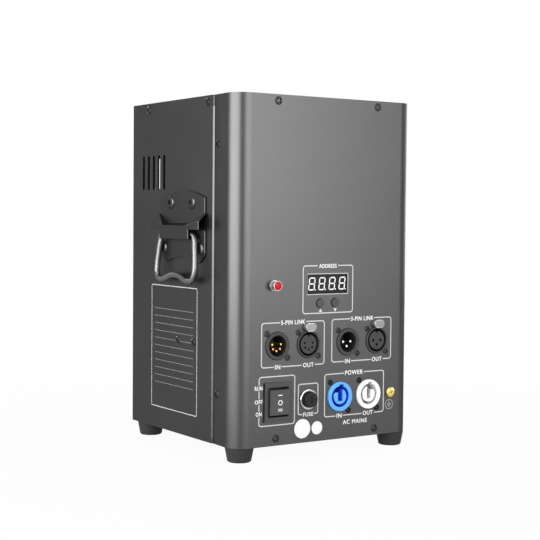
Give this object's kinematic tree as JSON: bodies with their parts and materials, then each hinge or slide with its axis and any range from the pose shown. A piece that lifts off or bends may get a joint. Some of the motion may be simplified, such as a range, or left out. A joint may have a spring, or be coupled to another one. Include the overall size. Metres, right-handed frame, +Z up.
{
  "type": "stage flame machine",
  "caption": "Upright dark grey sheet-steel flame machine with a fire bowl on top, carry bails on both sides and a control panel with signal, power, fuse and switch fittings.",
  "frame": {"origin": "on the floor under the middle of the machine's bounding box", "axes": "+X to the right of the control panel seen from in front, +Y to the back, +Z up; the control panel faces -Y"},
  "size_m": [0.1984, 0.188, 0.2945],
  "materials": {
    "coated_sheet": "dark grey powder coat with a fine satin grain",
    "handle_steel": "dark grey coated pressed steel, satin",
    "bail_wire": "grey coated round steel wire, semi-gloss",
    "black_plastic": "black moulded plastic, fine texture",
    "foot_rubber": "black moulded rubber, matt",
    "gold_contact": "gold-plated contact pins in a black insert",
    "bright_contact": "bright plated contact pins in a black insert",
    "nickel_plate": "bright nickel plate",
    "red_lens": "clear red moulded lens",
    "blue_plastic": "vivid blue moulded plastic, semi-gloss",
    "white_plastic": "white moulded plastic, semi-gloss",
    "brass": "turned brass",
    "stainless_sheet": "spun stainless sheet, faintly heat-tinted",
    "zinc_steel": "bright zinc-plated steel",
    "ceramic": "glazed white ceramic",
    "silicone_sleeve": "red silicone lead sleeve",
    "board_resin": "green circuit board",
    "winding": "taped copper winding",
    "potting_resin": "black potted resin",
    "can_tinplate": "plain silver-painted tinplate can",
    "fuse_glass": "clear glass tube"
  },
  "bodies": {
    "case": {"base_pan": "coated_sheet", "left_side_panel": "coated_sheet", "right_side_panel": "coated_sheet", "front_cover": "coated_sheet", "top_cover": "coated_sheet", "rear_frame": "coated_sheet", "hinge_leaf_frame": "handle_steel", "hinge_pin": "zinc_steel", "left_handle_plate": "handle_steel", "right_handle_plate": "handle_steel", "front_left_foot": "foot_rubber", "front_right_foot": "foot_rubber", "rear_left_foot": "foot_rubber", "rear_right_foot": "foot_rubber", "display_module": "black_plastic", "control_board": "board_resin", "indicator_bezel": "nickel_plate", "indicator_lens": "red_lens", "five_pin_inlet_shell": "black_plastic", "five_pin_inlet_pins": "gold_contact", "five_pin_outlet_shell": "black_plastic", "five_pin_outlet_core": "black_plastic", "three_pin_inlet_shell": "black_plastic", "three_pin_inlet_pins": "bright_contact", "three_pin_outlet_shell": "black_plastic", "three_pin_outlet_core": "black_plastic", "power_inlet": "blue_plastic", "power_outlet": "white_plastic", "switch_housing": "black_plastic", "fuse_holder": "black_plastic", "earth_screw": "brass", "flame_bowl": "stainless_sheet", "flame_nozzle": "brass", "nozzle_block": "brass", "burner_deck": "zinc_steel", "left_electrode": "ceramic", "right_electrode": "ceramic", "left_ignition_lead": "silicone_sleeve", "right_ignition_lead": "silicone_sleeve", "solenoid_yoke": "zinc_steel", "solenoid_coil": "winding", "ignition_module": "potting_resin", "power_supply": "zinc_steel"},
    "left_bail": {"left_handle_bail": "bail_wire"},
    "right_bail": {"right_handle_bail": "bail_wire"},
    "door": {"rear_door": "coated_sheet", "hinge_leaf_door": "handle_steel"},
    "door_latch": {"latch_knob": "nickel_plate", "latch_cam": "zinc_steel"},
    "rocker": {"switch_rocker": "black_plastic"},
    "up_key": {"up_button": "black_plastic"},
    "down_key": {"down_button": "black_plastic"},
    "five_pin_release": {"five_pin_outlet_latch": "nickel_plate"},
    "three_pin_release": {"three_pin_outlet_latch": "nickel_plate"},
    "fuse_carrier": {"fuse_cap": "black_plastic", "glass_fuse": "fuse_glass"},
    "can_lifter": {"solenoid_plunger": "nickel_plate", "can_cup": "zinc_steel", "fuel_can": "can_tinplate", "return_spring": "zinc_steel"}
  },
  "joints": [
    {"name": "left_bail_swing", "type": "hinge", "parent": "case", "child": "left_bail", "pos_m": [-0.094, -0.0035, 0.181], "axis": [0, 1, 0], "range_deg": [0, 86]},
    {"name": "right_bail_swing", "type": "hinge", "parent": "case", "child": "right_bail", "pos_m": [0.094, -0.0035, 0.181], "axis": [0, -1, 0], "range_deg": [0, 86]},
    {"name": "door_swing", "type": "hinge", "parent": "case", "child": "door", "pos_m": [0.0425, 0.0896, 0.124], "axis": [0, 0, -1], "range_deg": [0, 110]},
    {"name": "latch_turn", "type": "hinge", "parent": "door", "child": "door_latch", "pos_m": [-0.024, 0.089, 0.124], "axis": [0, -1, 0], "range_deg": [0, 90]},
    {"name": "rocker_tilt", "type": "hinge", "parent": "case", "child": "rocker", "pos_m": [-0.0488, -0.086, 0.0474], "axis": [1, 0, 0], "range_deg": [-10, 10]},
    {"name": "up_press", "type": "slide", "parent": "case", "child": "up_key", "axis": [0, 1, 0], "range_m": [0, 0.0006], "stiffness_N_per_m": 900, "springref_m": -0.0003},
    {"name": "down_press", "type": "slide", "parent": "case", "child": "down_key", "axis": [0, 1, 0], "range_m": [0, 0.0006], "stiffness_N_per_m": 900, "springref_m": -0.0003},
    {"name": "five_pin_release_press", "type": "slide", "parent": "case", "child": "five_pin_release", "axis": [0, 1, 0], "range_m": [0, 0.0025], "stiffness_N_per_m": 600, "springref_m": -0.0005},
    {"name": "three_pin_release_press", "type": "slide", "parent": "case", "child": "three_pin_release", "axis": [0, 1, 0], "range_m": [0, 0.0025], "stiffness_N_per_m": 600, "springref_m": -0.0005},
    {"name": "fuse_cap_turn", "type": "hinge", "parent": "case", "child": "fuse_carrier", "pos_m": [-0.0186, -0.087, 0.0474], "axis": [0, 1, 0], "range_deg": [0, 90]},
    {"name": "can_lift", "type": "slide", "parent": "case", "child": "can_lifter", "axis": [0, 0, 1], "range_m": [0, 0.003], "stiffness_N_per_m": 2500, "springref_m": -0.002, "deforming": ["return_spring"]}
  ]
}
